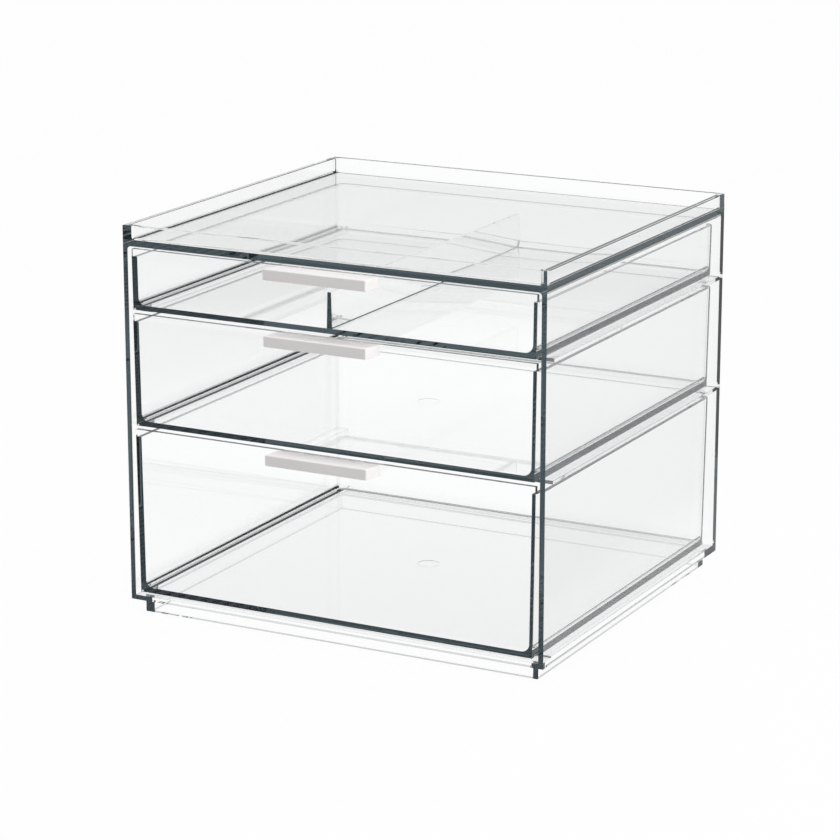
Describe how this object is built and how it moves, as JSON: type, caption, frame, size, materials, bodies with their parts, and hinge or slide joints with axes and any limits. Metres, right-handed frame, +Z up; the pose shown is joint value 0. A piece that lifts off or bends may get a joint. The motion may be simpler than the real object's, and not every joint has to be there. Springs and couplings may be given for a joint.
{
  "type": "cosmetic organizer",
  "caption": "Clear plastic desktop drawer case for cosmetics with a rimmed tray top, stacking foot, pull-out drawers and white bar pulls.",
  "frame": {"origin": "middle of the footprint, pulls included, on the surface the foot stands on", "axes": "+Z up, drawers open towards -Y, +X to the right seen from the front"},
  "size_m": [0.26, 0.2554, 0.2254],
  "materials": {
    "clear_plastic": "clear, polished",
    "white_plastic": "white, fine satin"
  },
  "bodies": {
    "case": {"top_tray": "clear_plastic", "left_side_panel": "clear_plastic", "right_side_panel": "clear_plastic", "back_panel": "clear_plastic", "base_frame": "clear_plastic", "left_bottom_rail": "clear_plastic", "right_bottom_rail": "clear_plastic", "left_middle_rail": "clear_plastic", "right_middle_rail": "clear_plastic", "left_top_rail": "clear_plastic", "right_top_rail": "clear_plastic"},
    "bottom_drawer": {"bottom_drawer_tub": "clear_plastic", "bottom_drawer_pull": "white_plastic"},
    "middle_drawer": {"middle_drawer_tub": "clear_plastic", "middle_drawer_pull": "white_plastic"},
    "top_drawer": {"top_drawer_tub": "clear_plastic", "top_drawer_pull": "white_plastic", "top_drawer_divider": "clear_plastic"}
  },
  "joints": [
    {"name": "bottom_drawer_slide", "type": "slide", "parent": "case", "child": "bottom_drawer", "axis": [0, -1, 0], "range_m": [0, 0.17]},
    {"name": "middle_drawer_slide", "type": "slide", "parent": "case", "child": "middle_drawer", "axis": [0, -1, 0], "range_m": [0, 0.17]},
    {"name": "top_drawer_slide", "type": "slide", "parent": "case", "child": "top_drawer", "axis": [0, -1, 0], "range_m": [0, 0.17]}
  ]
}
